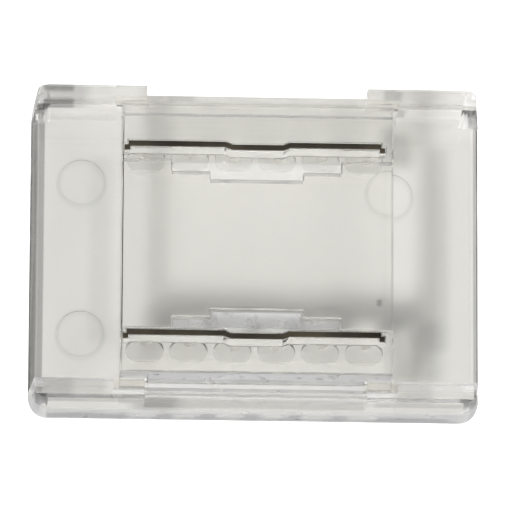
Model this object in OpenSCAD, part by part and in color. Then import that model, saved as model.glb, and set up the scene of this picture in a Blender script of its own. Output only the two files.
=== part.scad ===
/* [Tray] */
// Length of the tray, along the strip
tray_l = 16.45; // [14:0.05:20]
// Width of the tray, outside its side walls
tray_w = 11.8; // [11.4:0.1:14]
// Radius of the tray's four upright corners
corner_r = 0.7; // [0.3:0.05:1.2]
// Thickness of the floor
floor_t = 0.7; // [0.6:0.05:1]
// Height of the four corner posts above the bench
wall_h = 3.2; // [3:0.05:3.8]
// Thickness of the corner posts
wall_t = 0.75; // [0.7:0.05:1]
// Thickness of the low walls between the posts
low_wall_t = 0.4; // [0.3:0.05:0.5]
// Height of the low walls above the bench
low_wall_h = 1.8; // [1.4:0.05:2.2]
// Length of the opening between two posts
window_l = 8.06; // [7:0.02:8.6]
// How far the posts lean in at the tray's two ends
post_lean = 0.22; // [0.1:0.02:0.4]
// Height of the lip that holds the cover's ears down
lip_t = 0.4; // [0.3:0.05:0.55]
// Lead-in bevel across the two ends of the floor
lead_in = 0.3; // [0.1:0.05:0.5]
// Bevel beneath the two ends of the floor
foot_bevel = 0.2; // [0.05:0.05:0.3]
// Bevel along the top edges of the posts
post_bevel = 0.12; // [0.05:0.01:0.2]
// Radius of the round marks that the mould's pins leave on the floor
mark_r = 0.85; // [0.4:0.05:1.2]
// Depth of those marks
mark_d = 0.05; // [0.02:0.01:0.1]

/* [Cover] */
// Height of the closed cover's top above the bench
cover_h = 2.9; // [2.7:0.05:3.1]
// How far the cover is pressed down, from raised to closed
travel = 0.8; // [0.6:0.05:1]
// Length of the cover plate
cover_l = 9.9; // [9.6:0.1:11]
// Thickness of the cover plate
plate_t = 1.2; // [0.5:0.05:1.5]
// Bevel round the top of the cover plate
plate_bevel = 0.05; // [0.03:0.01:0.12]
// Height of the upright face of the flange on each side, between the posts
flange_h = 0.4; // [0.2:0.05:1]
// How far below the plate's top the slope above that face begins
slope_drop = 0.2; // [0.15:0.05:0.6]
// Room past the ends of the ears in their pockets
ear_room = 0.2; // [0.1:0.05:0.3]
// Height kept free for the strip beneath the closed cover
strip_room = 0.5; // [0.3:0.05:0.6]
// Plastic on the inner side of each contact, from its middle
side_in = 0.38; // [0.3:0.02:0.5]
// Length of the wide step on the inner side of each thick side
step_l = 6.2; // [4:0.1:7]
// How far the wide step stands out from the side
step_d = 0.45; // [0.2:0.05:0.6]
// Length of the nose in the middle of the step
nose_l = 3.4; // [2:0.1:3.8]
// How far the nose stands out from the step
nose_d = 0.3; // [0.1:0.05:0.4]

/* [Contacts] */
// Distance between the two contacts
row_pitch = 7.1; // [6.6:0.05:7.4]
// Thickness of the contact metal
blade_t = 0.21; // [0.15:0.01:0.25]
// Plastic left past the left end of a contact
left_margin = 0.24; // [0.24:0.01:0.3]
// Plastic left past the right end of a contact
right_margin = 0.44; // [0.24:0.01:0.45]
// Number of teeth on a contact
tooth_n = 6; // [4:1:6]
// Distance from tooth to tooth
tooth_pitch = 1.6; // [1.45:0.05:1.6]
// Width of a tooth at its root
tooth_w = 0.7; // [0.6:0.05:0.95]
// Width of a tooth at its flat tip
tip_w = 0.15; // [0.08:0.01:0.3]
// Height of the arch cut between two teeth, above the side's lower face
arch_h = 0.12; // [0.05:0.01:0.3]
// Length of the offset middle of a contact
joggle_l = 1.9; // [1:0.1:2.4]
// How far that middle is offset
joggle_d = 0.1; // [0.04:0.01:0.12]
// Length of the ramp on each side of it
joggle_ramp = 0.25; // [0.1:0.05:0.4]
// Width of the small hook at each end of a contact
hook_w = 0.2; // [0.14:0.01:0.22]
// How far the hook reaches past the end of the contact
hook_out = 0.14; // [0.08:0.01:0.15]
// How far the hook stands out to the front
hook_d = 0.14; // [0.08:0.01:0.2]

/* [Fits] */
// Gap between the cover and the walls that guide it
slide_gap = 0.1; // [0.05:0.01:0.12]
// Gap left where the cover stops, up and down
stop_gap = 0.05; // [0.03:0.01:0.1]
// Gap round a contact in its slot
slot_gap = 0.02; // [0.01:0.01:0.04]
// Gap beneath a tooth in the pit that takes it
pit_gap = 0.1; // [0.06:0.01:0.15]
// Gap between a tooth and the sides of its pit
pit_side = 0.25; // [0.1:0.01:0.25]
// How far a pit's middle lies outside that of its contact
pit_out = 0.08; // [0.05:0.01:0.1]
// Gap between a tooth and the ends of its pit
pit_end = 0.54; // [0.42:0.01:0.55]
// Floor left beneath a pit
pit_floor = 0.35; // [0.15:0.05:0.4]

/* [Hidden] */
$fn = 48;
clear_plastic = [0.87, 0.89, 0.87, 0.45];
plated_metal = [0.42, 0.40, 0.36];

// The cut solids reach this far past the faces that they cut
cut = 0.5;

// Tray, worked out from its outside
channel_half = tray_w / 2 - wall_t;
pocket_half = tray_w / 2 - low_wall_t;
pocket_l = cover_l + 2 * ear_room;
lip_z = wall_h - lip_t;

// Heights with the cover raised, as it is shown
ear_top = lip_z - stop_gap;
ear_z = floor_t + stop_gap + travel;
plate_top = cover_h + travel;
plate_z = plate_top - plate_t;
side_z = floor_t + strip_room + travel;

// Cover, fitted between the walls
cover_half = channel_half - slide_gap;
flange_half = pocket_half - slide_gap;
flange_l = window_l - 2 * slide_gap;
// How far flanges, ears, hooks and teeth are sunk into what carries them
root = 0.06;

// Contacts, held in the cover
blade_l = cover_l - left_margin - right_margin;
blade_x = (left_margin - right_margin) / 2;
blade_sink = 0.04;
blade_top = plate_top - blade_sink;
tip_z = pit_floor + pit_gap + travel;
arch_z = side_z + arch_h;
pit_w = blade_t + joggle_d + 2 * pit_side;

// How wide a tooth is where it meets the floor, with the cover closed
function tooth_at(z) = tip_w + (tooth_w - tip_w) * (z - tip_z) / (arch_z - tip_z);
pit_l = tooth_at(floor_t + travel) + 2 * pit_end;

function tooth_x(i) = (i - (tooth_n - 1) / 2) * tooth_pitch;

// Places of the round marks on the floor
MARKS = [[-6.35, 2.87], [-6.35, -2.87], [4.95, 2.5]];

// A centred box that stands on z0
module block(l, w, z0, z1) {
    translate([-l / 2, -w / 2, z0]) cube([l, w, z1 - z0]);
}

// A rectangle with round corners
module round_rect(l, w, r) {
    square([l - 2 * r, w], center = true);
    square([l, w - 2 * r], center = true);
    for (x = [-1, 1], y = [-1, 1])
        translate([x * (l / 2 - r), y * (w / 2 - r)]) circle(r);
}

// A bar with a triangular section along X, which bevels an edge at [y, z]
module edge_cut_x(l, y, z, b) {
    translate([-l / 2, y, z]) rotate([90, 0, 90]) linear_extrude(l)
        polygon([[-b, 0], [0, -b], [b, 0], [0, b]]);
}

// The same along Y, at [x, z]
module edge_cut_y(w, x, z, b) {
    translate([x, w / 2, z]) rotate([90, 0, 0]) linear_extrude(w)
        polygon([[-b, 0], [0, -b], [b, 0], [0, b]]);
}

// A slot with round ends, along X
module pit_outline(l, w) {
    square([l - w, w], center = true);
    for (x = [-1, 1]) translate([x * (l - w) / 2, 0]) circle(w / 2);
}

// One row of pits, which take the teeth when the cover is closed
module pit_row(s) {
    for (i = [0 : tooth_n - 1])
        translate([tooth_x(i), s * (row_pitch / 2 + pit_out), pit_floor])
            linear_extrude(floor_t) pit_outline(pit_l, pit_w);
}

// The channel between the walls, and all that is cut out of them
module tray_hollow() {
    block(tray_l + cut, 2 * channel_half, floor_t, wall_h + cut);
    // Opening between the posts, above the low walls
    block(window_l, tray_w + cut, low_wall_h, wall_h + cut);
    // Room for the flanges, up through the opening
    block(window_l, 2 * pocket_half, floor_t, wall_h + cut);
    // Pockets behind the posts for the ears, closed at the top by the lips
    block(pocket_l, 2 * pocket_half, floor_t, lip_z);
    pit_row(1);
    pit_row(-1);
    for (m = MARKS) translate([m[0], m[1], floor_t - mark_d])
        cylinder(h = floor_t, r = mark_r);
}

module tray_bevels() {
    for (s = [-1, 1]) {
        edge_cut_y(2 * channel_half, s * tray_l / 2, floor_t, lead_in);
        edge_cut_y(tray_w + cut, s * tray_l / 2, 0, foot_bevel);
        edge_cut_x(tray_l + cut, s * tray_w / 2, wall_h, post_bevel);
        edge_cut_x(tray_l + cut, s * channel_half, wall_h, post_bevel);
    }
}

// What is cut off the posts at the right end, so that they lean in
module lean_cut() {
    translate([tray_l / 2, tray_w / 2 + cut, 0]) rotate([90, 0, 0])
        linear_extrude(tray_w + 2 * cut)
            polygon([[0, floor_t], [-post_lean, wall_h], [-post_lean, wall_h + cut],
                     [cut, wall_h + cut], [cut, floor_t]]);
}

// Tray: floor, four corner posts and two low walls
module base_tray() {
    color(clear_plastic) difference() {
        linear_extrude(wall_h) round_rect(tray_l, tray_w, corner_r);
        tray_hollow();
        tray_bevels();
        lean_cut();
        mirror([1, 0, 0]) lean_cut();
    }
}

// Plan of a contact, seen from above: a flat strip with an offset middle
module blade_plan(gap = 0) {
    half = blade_l / 2 + gap;
    in = joggle_l / 2;
    out = in + joggle_ramp;
    top = blade_t / 2 + gap;
    polygon([[-half, top], [-out - blade_x, top], [-in - blade_x, top - joggle_d],
             [in - blade_x, top - joggle_d], [out - blade_x, top], [half, top],
             [half, -top], [out - blade_x, -top], [in - blade_x, -top - joggle_d],
             [-in - blade_x, -top - joggle_d], [-out - blade_x, -top], [-half, -top]]);
}

// Small hooks at both ends of a contact, in front of its front face
module hook_plan(gap = 0) {
    hook_y = hook_d + root;
    for (s = [-1, 1])
        translate([s * (blade_l / 2 + hook_out - hook_w / 2), root - (blade_t + hook_y) / 2])
            square([hook_w + 2 * gap, hook_y + 2 * gap], center = true);
}

// Side view of a contact: a straight bar with a row of teeth
module blade_side() {
    translate([-blade_l / 2, arch_z]) square([blade_l, blade_top - arch_z]);
    for (i = [0 : tooth_n - 1]) translate([tooth_x(i) - blade_x, 0])
        polygon([[-tooth_w / 2, arch_z + root], [-tooth_w / 2, arch_z], [-tip_w / 2, tip_z],
                 [tip_w / 2, tip_z], [tooth_w / 2, arch_z], [tooth_w / 2, arch_z + root]]);
}

// One contact, stamped from flat metal
module contact(y) {
    color(plated_metal) translate([blade_x, y, 0]) {
        intersection() {
            linear_extrude(plate_top) blade_plan();
            translate([0, tray_w / 2, 0]) rotate([90, 0, 0])
                linear_extrude(tray_w) blade_side();
        }
        translate([0, 0, plate_z]) linear_extrude(blade_top - plate_z) hook_plan();
    }
}

module front_contact() { contact(-row_pitch / 2); }
module rear_contact() { contact(row_pitch / 2); }

// The slot through the cover that holds a contact
module contact_slot(y) {
    translate([blade_x, y, 0]) {
        linear_extrude(plate_top + cut) blade_plan(slot_gap);
        translate([0, 0, plate_z - slot_gap]) linear_extrude(plate_t + cut) hook_plan(slot_gap);
    }
}

// Thick side of the cover round one contact, stepped on its inner face
module side(s) {
    inner = row_pitch / 2 - side_in;
    side_top = plate_z + plate_t / 2;
    translate([0, s * (inner + cover_half) / 2, 0])
        block(cover_l, cover_half - inner, side_z, side_top);
    translate([0, s * inner, 0]) {
        block(step_l, 2 * step_d, side_z, side_top);
        block(nose_l, 2 * (step_d + nose_d), side_z, side_top);
    }
}

// Flange between the posts, with a sloping top, seen along X
module flange_section() {
    slope_z = plate_top - slope_drop;
    polygon([[cover_half - root, ear_z], [flange_half, ear_z],
             [flange_half, ear_z + flange_h], [cover_half, slope_z],
             [cover_half - root, slope_z]]);
}

// Ears under the lips of the posts, and the flange between them, on the +Y side
module runners() {
    translate([-flange_l / 2, 0, 0]) rotate([90, 0, 90])
        linear_extrude(flange_l) flange_section();
    translate([0, (cover_half - root + flange_half) / 2, 0])
        block(cover_l, flange_half - cover_half + root, ear_z, ear_top);
}

// Cover: plate with two thick sides that hold the contacts, flanges and ears
module press_cover() {
    color(clear_plastic) difference() {
        union() {
            block(cover_l, 2 * cover_half, plate_z, plate_top);
            for (s = [-1, 1]) side(s);
            runners();
            mirror([0, 1, 0]) runners();
        }
        for (s = [-1, 1]) {
            contact_slot(s * row_pitch / 2);
            edge_cut_x(cover_l + cut, s * cover_half, plate_top, plate_bevel);
            edge_cut_y(2 * cover_half + cut, s * cover_l / 2, plate_top, plate_bevel);
        }
    }
}

base_tray();
press_cover();
front_contact();
rear_contact();
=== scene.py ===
"""Looks of the clear strip connector: moulded plastic, plated contacts, studio and camera."""
import math

import bpy
from mathutils import Matrix, Vector


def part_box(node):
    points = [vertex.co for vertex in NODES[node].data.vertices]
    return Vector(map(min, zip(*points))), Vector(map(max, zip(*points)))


MM = 0.001

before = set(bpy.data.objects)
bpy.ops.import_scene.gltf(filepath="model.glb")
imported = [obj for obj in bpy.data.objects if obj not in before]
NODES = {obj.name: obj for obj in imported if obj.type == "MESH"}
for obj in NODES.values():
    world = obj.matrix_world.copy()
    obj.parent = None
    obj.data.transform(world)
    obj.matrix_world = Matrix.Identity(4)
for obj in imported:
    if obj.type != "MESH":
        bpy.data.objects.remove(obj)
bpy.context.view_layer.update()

# The fine round edges: width, and segments on plastic and metal
TRAY_EDGE = 0.09 * MM
COVER_EDGE = 0.06 * MM
METAL_EDGE = 0.03 * MM
PLASTIC_SEGMENTS = 3
METAL_SEGMENTS = 2
# Edges with a sharper turn than this get rounded, after points this close are joined
EDGE_TURN = math.radians(28)
JOINED_WITHIN = 0.0005 * MM

# The camera: where it stands, seen from the object, and what it covers
VIEW_AZIMUTH = 8.0
VIEW_ELEVATION = 74.6
VIEW_ROLL = 8.6
VIEW_DISTANCE = 300 * MM
PHOTO_SIZE = 510
PX_PER_MM = 27.4
OBJECT_CENTRE_PX = (255.5, 250.8)
AIM_HEIGHT = 2 * MM
SENSOR_WIDTH = 36
NEAREST_SEEN = 10 * MM

# Clear plastic: polish, bending of light, and how much the tint varies
PLASTIC_ROUGHNESS = 0.03
PLASTIC_IOR = 1.58
TINT_CHANGE = 1.015
# Its patches of tint, flow waves and fine handling marks: scale and detail of the noise
TINT_NOISE = (420, 3)
WAVE_NOISE = (330, 1)
MARK_NOISE = (5200, 4)
# Strength and height of the waves and of the marks
WAVE_RELIEF = (0.12, 0.03 * MM)
MARK_RELIEF = (0.05, 0.004 * MM)
# The plastic's tint, seen through one wall
TRAY_TINT = (0.93, 0.922, 0.895)
COVER_TINT = (0.957, 0.955, 0.947)
# Painted shade on the fine round edges: the tint made much darker there, for the dark lines along the
# edges of clear plastic
TRAY_EDGE_PAINTED_SHADE = [(0.35, (0.24, 0.23, 0.21)), (0.65, (0.75, 0.74, 0.72))]
COVER_EDGE_PAINTED_SHADE = [(0.35, (0.62, 0.61, 0.59)), (0.65, (0.9, 0.89, 0.87))]

# Painted shade in the clear plastic: darker places standing in for shadows and dark refracted edges, in
# millimetres: middle, half size, tone, blur
TRAY_PAINTED_SHADE = [
    # The whole underside, painted darker so that the paper seen through the plastic looks dimmer: painted
    # shade
    ((0, 0, 0), (8.3, 6.0, 0.005), 0.53, 0.005),
    # Painted shade on the outermost edge and bevel of the left end, then on the outermost edge of the
    # right end
    ((-8.22, 0, 0.4), (0.18, 5.2, 0.4), 0.48, 0.08),
    ((-8.22, 0, 0.4), (0.46, 5.2, 0.4), 0.64, 0.08),
    ((8.22, 0, 0.4), (0.14, 5.2, 0.4), 0.45, 0.06),
    # Painted shade on the outer and inner edge of the rear left post, then on its top
    ((-7.25, 5.74, 3.2), (0.45, 0.04, 0.1), 0.30, 0.20),
    ((-7.25, 5.18, 3.0), (0.45, 0.06, 0.3), 0.25, 0.22),
    ((-7.1, 5.45, 3.1), (0.60, 0.30, 0.2), 0.62, 0.60),
    # Painted shade on the rear right post: top and inner edge beside the pocket, then the rest of the
    # inner edge
    ((4.95, 5.62, 3.2), (0.20, 0.10, 0.1), 0.50, 0.25),
    ((5.00, 5.15, 2.5), (0.30, 0.06, 0.4), 0.42, 0.25),
    ((6.60, 5.24, 3.2), (1.30, 0.02, 0.1), 0.85, 0.08),
    # Painted shade on the inner face of the rear left post
    ((-6.3, 5.15, 1.9), (1.6, 0.05, 0.9), 0.84, 0.10),
    # Painted shade on the front left post: upper edge of the outer face, then two places on its top
    ((-5.9, -5.90, 2.9), (1.90, 0.05, 0.3), 0.40, 0.14),
    ((-6.7, -5.30, 3.1), (1.10, 0.20, 0.2), 0.66, 0.40),
    ((-7.3, -5.45, 3.1), (0.50, 0.30, 0.2), 0.66, 0.40),
    # Painted shade on the front right post: upper edge of the outer face, then one place on its top
    ((6.2, -5.90, 2.6), (1.80, 0.05, 0.25), 0.50, 0.14),
    ((5.7, -5.60, 3.1), (0.50, 0.20, 0.2), 0.70, 0.40),
    # Painted shade on the top of the front low wall, darker towards the left, and of the rear one
    ((0.0, -5.72, 1.8), (3.95, 0.12, 0.1), 0.66, 0.10),
    ((-3.6, -5.80, 1.8), (0.40, 0.04, 0.1), 0.45, 0.90),
    ((-2.75, 5.72, 1.8), (0.35, 0.08, 0.1), 0.70, 0.30),
    # Painted shadows of the cover on the floor of the two wings: soft bands, then soft patches
    ((-5.65, 0.3, 0.7), (0.10, 3.2, 0.05), 0.84, 0.60),
    ((6.75, 0.5, 0.7), (0.10, 3.6, 0.05), 0.78, 0.55),
    ((5.85, -3.4, 0.7), (0.45, 0.75, 0.05), 0.64, 1.05),
    ((5.25, 4.3, 0.7), (0.20, 0.3, 0.05), 0.52, 0.75),
]
COVER_PAINTED_SHADE = [
    # Painted shade: a small dark spot by the right edge
    ((4.44, -2.35, 3.7), (0.02, 0.05, 0.1), 0.35, 0.16),
]
# Painted shade in the pits of both rows, which have the same height and distance from the middle
PIT_PAINTED_SHADE = ((0, 3.6, 0.32), (4.9, 0.5, 0.1), 0.80, 0.05)
# Painted shade on the rims of the round marks on the floor: middles, radius, half width, tone and blur
MARKS = [(-6.35, 2.87), (-6.35, -2.87), (4.95, 2.5)]
MARK_RIM = (0.85, 0.03, 0.92, 0.12)

# Slightly milky places on the tray: lower part of the front face and of the four corners
TRAY_FROST = [
    ((0, -5.90, 0.7), (7.7, 0.02, 0.6), 0.55, 0.25),
    ((-8.00, -5.70, 0.8), (0.25, 0.25, 0.8), 0.55, 0.20),
    ((8.00, -5.70, 0.8), (0.25, 0.25, 0.8), 0.55, 0.20),
    ((-8.00, 5.70, 0.8), (0.25, 0.25, 0.8), 0.55, 0.20),
    ((8.00, 5.70, 0.8), (0.25, 0.25, 0.8), 0.55, 0.20),
]
# Milky places on the cover: front flange, front face, then the lower faces of its steps
COVER_FROST = [
    ((0, -5.20, 2.65), (3.9, 0.24, 0.4), 0.65, 0.06),
    ((0, -5.05, 3.2), (4.9, 0.08, 0.45), 0.42, 0.05),
    ((0, 2.72, 2.0), (1.6, 0.25, 0.06), 0.84, 0.08),
    ((0, 2.92, 2.0), (3.0, 0.15, 0.06), 0.84, 0.08),
    ((0, -2.80, 2.0), (1.6, 0.26, 0.06), 0.25, 0.06),
    ((0, -2.95, 2.0), (3.0, 0.12, 0.06), 0.40, 0.06),
]
FROST_TINT = (0.88, 0.88, 0.90)
# Clear spots in the milky places: noise, and between which of its levels they appear
SPOT_NOISE = (2200, 3)
SPOT_LEVELS = (0.35, 0.85)

# How much of a lamp's light one face lets through, and one end face of the cover
LAMP_FACE = (0.97, 0.97, 0.965)
LAMP_END = (0.36, 0.35, 0.34)
END_SKIN = 0.01 * MM
# How much lamp light the plastic leads past each face of the rear contact
GUIDED_LIGHT = (0.85, 0.85, 0.85)

# Contact metal: patches and drawn grain as scale, detail and stretch of the noise
PATCH_NOISE = (900, 4, (0.5, 1, 1))
GRAIN_NOISE = (9000, 3, (0.06, 1, 1))
GRAIN_RELIEF = (0.3, 0.006 * MM)
GRAIN_ROUGHNESS = [(0.2, (0.28, 0.28, 0.28)), (0.8, (0.5, 0.5, 0.5))]
# Faces that point up: sheared metal, darkened further as painted shade
SHEARED_WITH_PAINTED_SHADE = [(0.3, (0.04, 0.036, 0.028)), (0.55, (0.085, 0.075, 0.06)), (0.8, (0.17, 0.145, 0.095))]
PLATED = [(0.3, (0.72, 0.71, 0.68)), (0.7, (0.86, 0.85, 0.82))]
# How far up a face points where the plating ends and where the dark top begins: sheared metal with painted
# shade
FACES_UP = (0.15, 0.5)

# The paper, and the thin air gap between the tray and the paper
FLOOR_SIZE = 160 * MM
FLOOR_GAP = 0.02 * MM
PAPER_NOISE = (60, 3)
PAPER_TINTS = [(0, (0.79, 0.79, 0.785)), (1, (0.81, 0.81, 0.805))]
# How strongly the paper shines to the camera, and behind the plastic
PAPER_GLOW = 0.60
GLOW_BEHIND = 0.10

# Brightness of the room from straight below to straight above
ROOM_LIGHT = [(0.0, 0.05), (0.3, 0.10), (0.6, 0.32), (1.0, 0.55)]
ROOM_BLUE = 0.99
# The lamps: place, size and power
KEY_LAMP = ((-0.28, -0.37, 0.6), 0.16, 2.6)
FILL_LAMP = ((0.34, -0.12, 0.6), 0.3, 1.0)
# How often light may pass through or mirror on faces
PASSES = 24
MIRRORINGS = 12


class Shader:
    """Builds one node material, with short calls for the nodes used here."""

    def __init__(self, name):
        self.material = bpy.data.materials.new(name)
        self.material.use_nodes = True
        self.tree = self.material.node_tree
        self.tree.nodes.clear()
        self.out = self.add("ShaderNodeOutputMaterial")
        self.path = self.add("ShaderNodeLightPath").outputs

    def add(self, kind, **settings):
        node = self.tree.nodes.new(kind)
        for key, value in settings.items():
            setattr(node, key, value)
        return node

    def link(self, source, target):
        self.tree.links.new(source, target)

    def put(self, node, key, value):
        node.inputs[key].default_value = value

    def finish(self, surface):
        self.link(surface, self.out.inputs["Surface"])
        return self.material

    def place(self):
        return self.add("ShaderNodeTexCoord").outputs["Object"]

    def noise(self, scale, detail, stretch=None):
        """Noise with features about 1 / scale across."""
        node = self.add("ShaderNodeTexNoise")
        self.put(node, "Scale", scale)
        self.put(node, "Detail", detail)
        place = self.place()
        if stretch:
            mapping = self.add("ShaderNodeMapping")
            self.put(mapping, "Scale", stretch)
            self.link(place, mapping.inputs["Vector"])
            place = mapping.outputs["Vector"]
        self.link(place, node.inputs["Vector"])
        return node.outputs["Fac"]

    def ramp(self, fac, stops):
        node = self.add("ShaderNodeValToRGB")
        points = node.color_ramp.elements
        while len(points) < len(stops):
            points.new(0.5)
        for point, (position, colour) in zip(points, stops):
            point.position = position
            point.color = (*colour, 1)
        self.link(fac, node.inputs["Fac"])
        return node.outputs["Color"]

    def bump(self, height, relief, normal=None):
        strength, distance = relief
        node = self.add("ShaderNodeBump")
        self.put(node, "Strength", strength)
        self.put(node, "Distance", distance)
        self.link(height, node.inputs["Height"])
        if normal:
            self.link(normal, node.inputs["Normal"])
        return node.outputs["Normal"]

    def calc(self, operation, first, second=0.0):
        """One sum, from results of other nodes or from decimal numbers."""
        node = self.add("ShaderNodeMath", operation=operation)
        for socket, value in zip(node.inputs, (first, second)):
            if isinstance(value, float):
                socket.default_value = value
            else:
                self.link(value, socket)
        return node.outputs["Value"]

    def length(self, vector):
        node = self.add("ShaderNodeVectorMath", operation="LENGTH")
        self.link(vector, node.inputs[0])
        return node.outputs["Value"]

    def part(self, vector, letter):
        """The X, Y or Z of a vector."""
        node = self.add("ShaderNodeSeparateXYZ")
        self.link(vector, node.inputs["Vector"])
        return node.outputs[letter]

    def fade(self, value, start, end, low=0.0):
        """Rises smoothly from low to 1 while the value goes from start to end."""
        node = self.add("ShaderNodeMapRange", interpolation_type="SMOOTHSTEP")
        self.put(node, "From Min", start)
        self.put(node, "From Max", end)
        self.put(node, "To Min", low)
        self.link(value, node.inputs["Value"])
        return node.outputs["Result"]

    def mix(self, share, first, second):
        node = self.add("ShaderNodeMixShader")
        self.link(share, node.inputs["Fac"])
        self.link(first, node.inputs[1])
        self.link(second, node.inputs[2])
        return node.outputs["Shader"]

    def with_pane(self, surface, colour):
        """The surface, but a tinted pane for light on its way from a lamp."""
        pane = self.add("ShaderNodeBsdfTransparent")
        if isinstance(colour, tuple):
            self.put(pane, "Color", (*colour, 1))
        else:
            self.link(colour, pane.inputs["Color"])
        return self.mix(self.path["Is Shadow Ray"], surface, pane.outputs["BSDF"])


def varied(tint):
    """Stops for a ramp that varies a tint a little."""
    return [(0.3, tint), (0.7, tuple(min(1.0, c * TINT_CHANGE) for c in tint))]


def shade(s, place, zone):
    """A tone that is darker inside a box: middle, half size, tone there and blur outside it."""
    middle, half, tone, blur = zone
    steps = [("SUBTRACT", middle), ("ABSOLUTE", None), ("SUBTRACT", half), ("MAXIMUM", (0, 0, 0))]
    for operation, value in steps:
        step = s.add("ShaderNodeVectorMath", operation=operation)
        s.link(place, step.inputs[0])
        if value:
            step.inputs[1].default_value = [v * MM for v in value]
        place = step.outputs["Vector"]
    return s.fade(s.length(place), 0.0, blur * MM, tone)


def rim(s, middle):
    """A tone that is darker on the rim of a round mark on the floor, as painted shade."""
    radius, half, tone, blur = MARK_RIM
    flat = s.add("ShaderNodeVectorMath", operation="MULTIPLY_ADD")
    s.link(s.place(), flat.inputs[0])
    flat.inputs[1].default_value = (1, 1, 0)
    flat.inputs[2].default_value = (-middle[0] * MM, -middle[1] * MM, 0)
    off = s.calc("SUBTRACT", s.length(flat.outputs["Vector"]), radius * MM)
    return s.fade(s.calc("ABSOLUTE", off), half * MM, (half + blur) * MM, tone)


def shaded(s, colour, zones, pits):
    """The colour, darkened with painted shade in every zone in turn, and in the pits and on the rims of
    the marks of the floor.
    """
    tones = [shade(s, s.place(), zone) for zone in zones]
    if pits:
        tones += [rim(s, mark) for mark in MARKS]
        fold = s.add("ShaderNodeVectorMath", operation="ABSOLUTE")
        s.link(s.place(), fold.inputs[0])
        tones.append(shade(s, fold.outputs["Vector"], pits))
    for tone in tones:
        scale = s.add("ShaderNodeVectorMath", operation="SCALE")
        s.link(colour, scale.inputs[0])
        s.link(tone, scale.inputs["Scale"])
        colour = scale.outputs["Vector"]
    return colour


def end_faces(s, half):
    """How much lamp light passes: less on the end faces of a part from -half to half in X."""
    along = s.add("ShaderNodeMapRange")
    s.put(along, "From Min", -half)
    s.put(along, "From Max", half)
    s.link(s.part(s.place(), "X"), along.inputs["Value"])
    skin = END_SKIN / (2 * half)
    stops = [(0, LAMP_END), (skin, LAMP_FACE), (1 - skin, LAMP_FACE), (1, LAMP_END)]
    return s.ramp(along.outputs["Result"], stops)


def frosted(s, clear, zones):
    """Milky places in the zones, where the moulded faces are rough, with clear spots."""
    frost = s.add("ShaderNodeBsdfDiffuse")
    s.put(frost, "Color", (*FROST_TINT, 1))
    tones = [shade(s, s.place(), zone) for zone in zones]
    keep = tones[0]
    for tone in tones[1:]:
        keep = s.calc("MINIMUM", keep, tone)
    spots = s.fade(s.noise(*SPOT_NOISE), *SPOT_LEVELS)
    return s.mix(s.calc("MAXIMUM", keep, spots), frost.outputs["BSDF"], clear)


def clear_plastic(name, stops, zones=(), pits=None, lamp_half=None, frost=()):
    """Clear moulded plastic: tint that varies a little, painted shade in the zones, pits and marks given,
    flow waves and fine handling marks.

    lamp_half is half the length of a part whose end faces hold back lamp light.
    """
    s = Shader(name)
    body = s.add("ShaderNodeBsdfPrincipled")
    s.put(body, "Roughness", PLASTIC_ROUGHNESS)
    s.put(body, "IOR", PLASTIC_IOR)
    s.put(body, "Transmission Weight", 1.0)
    colour = s.ramp(s.noise(*TINT_NOISE), stops)
    s.link(shaded(s, colour, zones, pits), body.inputs["Base Color"])
    waves = s.bump(s.noise(*WAVE_NOISE), WAVE_RELIEF)
    s.link(s.bump(s.noise(*MARK_NOISE), MARK_RELIEF, waves), body.inputs["Normal"])
    surface = body.outputs["BSDF"]
    if frost:
        surface = frosted(s, surface, frost)
    pane = end_faces(s, lamp_half) if lamp_half else LAMP_FACE
    return s.finish(s.with_pane(surface, pane))


def plated_metal(name, guided=None):
    """Stamped contact metal: bright plating on the flat sides; faces that point up are dark, sheared metal
    made darker still with painted shade.

    guided is the share of lamp light that the plastic round the metal leads past it.
    """
    s = Shader(name)
    body = s.add("ShaderNodeBsdfPrincipled")
    s.put(body, "Metallic", 1.0)
    patches = s.noise(*PATCH_NOISE)
    normal = s.add("ShaderNodeNewGeometry").outputs["Normal"]
    colour = s.add("ShaderNodeMix", data_type="RGBA")
    s.link(s.fade(s.part(normal, "Z"), *FACES_UP), colour.inputs["Factor"])
    s.link(s.ramp(patches, PLATED), colour.inputs["A"])
    s.link(s.ramp(patches, SHEARED_WITH_PAINTED_SHADE), colour.inputs["B"])
    s.link(colour.outputs["Result"], body.inputs["Base Color"])
    grain = s.noise(*GRAIN_NOISE)
    s.link(s.ramp(grain, GRAIN_ROUGHNESS), body.inputs["Roughness"])
    s.link(s.bump(grain, GRAIN_RELIEF), body.inputs["Normal"])
    surface = body.outputs["BSDF"]
    if guided:
        surface = s.with_pane(surface, guided)
    return s.finish(surface)


def white_paper():
    """The floor: white paper that shows white behind glass too, and keeps the shadow."""
    s = Shader("white_paper")
    paper = s.add("ShaderNodeBsdfDiffuse")
    s.link(s.ramp(s.noise(*PAPER_NOISE), PAPER_TINTS), paper.inputs["Color"])
    glow = s.add("ShaderNodeEmission")
    seen = s.calc("MAXIMUM", s.path["Is Camera Ray"], s.path["Is Glossy Ray"])
    seen = s.calc("MAXIMUM", seen, s.path["Is Transmission Ray"])
    direct = s.calc("MULTIPLY", s.path["Is Camera Ray"], PAPER_GLOW - GLOW_BEHIND)
    level = s.calc("ADD", direct, s.calc("MULTIPLY", seen, GLOW_BEHIND))
    s.link(level, glow.inputs["Strength"])
    both = s.add("ShaderNodeAddShader")
    s.link(paper.outputs["BSDF"], both.inputs[0])
    s.link(glow.outputs["Emission"], both.inputs[1])
    return s.finish(both.outputs["Shader"])


def dress(node, edge, segments, material, edge_material):
    """Gives a CAD node its material and small rounded edges, with a material of their own."""
    obj = NODES[node]
    obj.data.materials.clear()
    obj.data.materials.append(material)
    obj.data.materials.append(edge_material)
    weld = obj.modifiers.new("weld", "WELD")
    weld.merge_threshold = JOINED_WITHIN
    bevel = obj.modifiers.new("round edges", "BEVEL")
    bevel.width = edge
    bevel.segments = segments
    bevel.limit_method = "ANGLE"
    bevel.angle_limit = EDGE_TURN
    bevel.harden_normals = True
    bevel.material = 1


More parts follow.
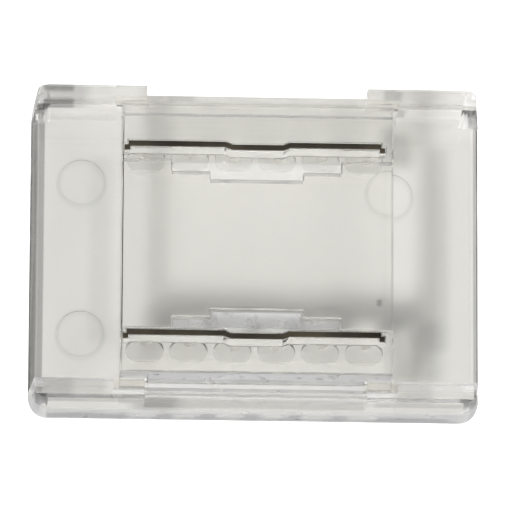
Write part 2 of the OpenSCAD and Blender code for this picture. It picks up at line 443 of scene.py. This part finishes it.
def dress_all():
    """The plastics with a material for their edges, the metals with one for both."""
    cover_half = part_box("press_cover")[1][0]
    tray = clear_plastic("tray_plastic", varied(TRAY_TINT), TRAY_PAINTED_SHADE, PIT_PAINTED_SHADE, None, TRAY_FROST)
    cover = clear_plastic("cover_plastic", varied(COVER_TINT), COVER_PAINTED_SHADE, None, cover_half, COVER_FROST)
    # The edge materials carry painted shade: much darker tints on the rounded edges
    tray_edge = clear_plastic("tray_edge", TRAY_EDGE_PAINTED_SHADE)
    cover_edge = clear_plastic("cover_edge", COVER_EDGE_PAINTED_SHADE)
    front_metal = plated_metal("front_contact_metal")
    rear_metal = plated_metal("rear_contact_metal", GUIDED_LIGHT)
    dress("base_tray", TRAY_EDGE, PLASTIC_SEGMENTS, tray, tray_edge)
    dress("press_cover", COVER_EDGE, PLASTIC_SEGMENTS, cover, cover_edge)
    dress("front_contact", METAL_EDGE, METAL_SEGMENTS, front_metal, front_metal)
    dress("rear_contact", METAL_EDGE, METAL_SEGMENTS, rear_metal, rear_metal)


def make_floor():
    bpy.ops.mesh.primitive_plane_add(size=FLOOR_SIZE, location=(0, 0, -FLOOR_GAP))
    floor = bpy.context.object
    floor.name = "floor"
    floor.data.materials.append(white_paper())


def make_world():
    """Soft room light: bright overhead, darker towards the horizon, white to the camera."""
    world = bpy.data.worlds.new("room")
    bpy.context.scene.world = world
    world.use_nodes = True
    tree = world.node_tree
    tree.nodes.clear()
    place = tree.nodes.new("ShaderNodeTexCoord")
    split = tree.nodes.new("ShaderNodeSeparateXYZ")
    tree.links.new(place.outputs["Generated"], split.inputs["Vector"])
    ramp = tree.nodes.new("ShaderNodeValToRGB")
    points = ramp.color_ramp.elements
    while len(points) < len(ROOM_LIGHT):
        points.new(0.5)
    for point, (position, grey) in zip(points, ROOM_LIGHT):
        point.position = position
        point.color = (grey, grey, grey * ROOM_BLUE, 1)
    tree.links.new(split.outputs["Z"], ramp.inputs["Fac"])
    light = tree.nodes.new("ShaderNodeBackground")
    tree.links.new(ramp.outputs["Color"], light.inputs["Color"])
    white = tree.nodes.new("ShaderNodeBackground")
    white.inputs["Color"].default_value = (1, 1, 1, 1)
    path = tree.nodes.new("ShaderNodeLightPath")
    mix = tree.nodes.new("ShaderNodeMixShader")
    tree.links.new(path.outputs["Is Camera Ray"], mix.inputs["Fac"])
    tree.links.new(light.outputs["Background"], mix.inputs[1])
    tree.links.new(white.outputs["Background"], mix.inputs[2])
    out = tree.nodes.new("ShaderNodeOutputWorld")
    tree.links.new(mix.outputs["Shader"], out.inputs["Surface"])


def add_lamp(name, place, size, power):
    """A square softbox that faces the object."""
    data = bpy.data.lights.new(name, "AREA")
    data.energy = power
    data.size = size
    lamp = bpy.data.objects.new(name, data)
    bpy.context.scene.collection.objects.link(lamp)
    lamp.location = place
    lamp.rotation_euler = (-Vector(place)).to_track_quat("-Z", "Y").to_euler()


def make_camera():
    """A long lens that looks down from the front left, rolled as the photo is."""
    data = bpy.data.cameras.new("camera")
    camera = bpy.data.objects.new("camera", data)
    bpy.context.scene.collection.objects.link(camera)
    azimuth = math.radians(VIEW_AZIMUTH)
    elevation = math.radians(VIEW_ELEVATION)
    back = Vector((
        -math.sin(azimuth) * math.cos(elevation),
        -math.cos(azimuth) * math.cos(elevation),
        math.sin(elevation),
    ))
    level_right = Vector((0, 0, 1)).cross(back).normalized()
    level_up = back.cross(level_right)
    roll = math.radians(VIEW_ROLL)
    right = level_right * math.cos(roll) + level_up * math.sin(roll)
    up = level_up * math.cos(roll) - level_right * math.sin(roll)
    turn = Matrix((right, up, back)).transposed().to_4x4()
    aim = Vector((0, 0, AIM_HEIGHT))
    camera.matrix_world = Matrix.Translation(aim + back * VIEW_DISTANCE) @ turn
    data.sensor_fit = "HORIZONTAL"
    data.sensor_width = SENSOR_WIDTH
    width_seen = PHOTO_SIZE / PX_PER_MM * MM
    data.lens = data.sensor_width * VIEW_DISTANCE / width_seen
    half = PHOTO_SIZE / 2
    data.shift_x = -(OBJECT_CENTRE_PX[0] - half) / PHOTO_SIZE
    data.shift_y = (OBJECT_CENTRE_PX[1] - half) / PHOTO_SIZE
    data.clip_start = NEAREST_SEEN
    bpy.context.scene.camera = camera


dress_all()
make_floor()
make_world()
add_lamp("key", *KEY_LAMP)
add_lamp("fill", *FILL_LAMP)
make_camera()

scene = bpy.context.scene
scene.view_settings.view_transform = "Standard"
scene.cycles.max_bounces = PASSES
scene.cycles.transmission_bounces = PASSES
scene.cycles.glossy_bounces = MIRRORINGS
scene.cycles.transparent_max_bounces = PASSES
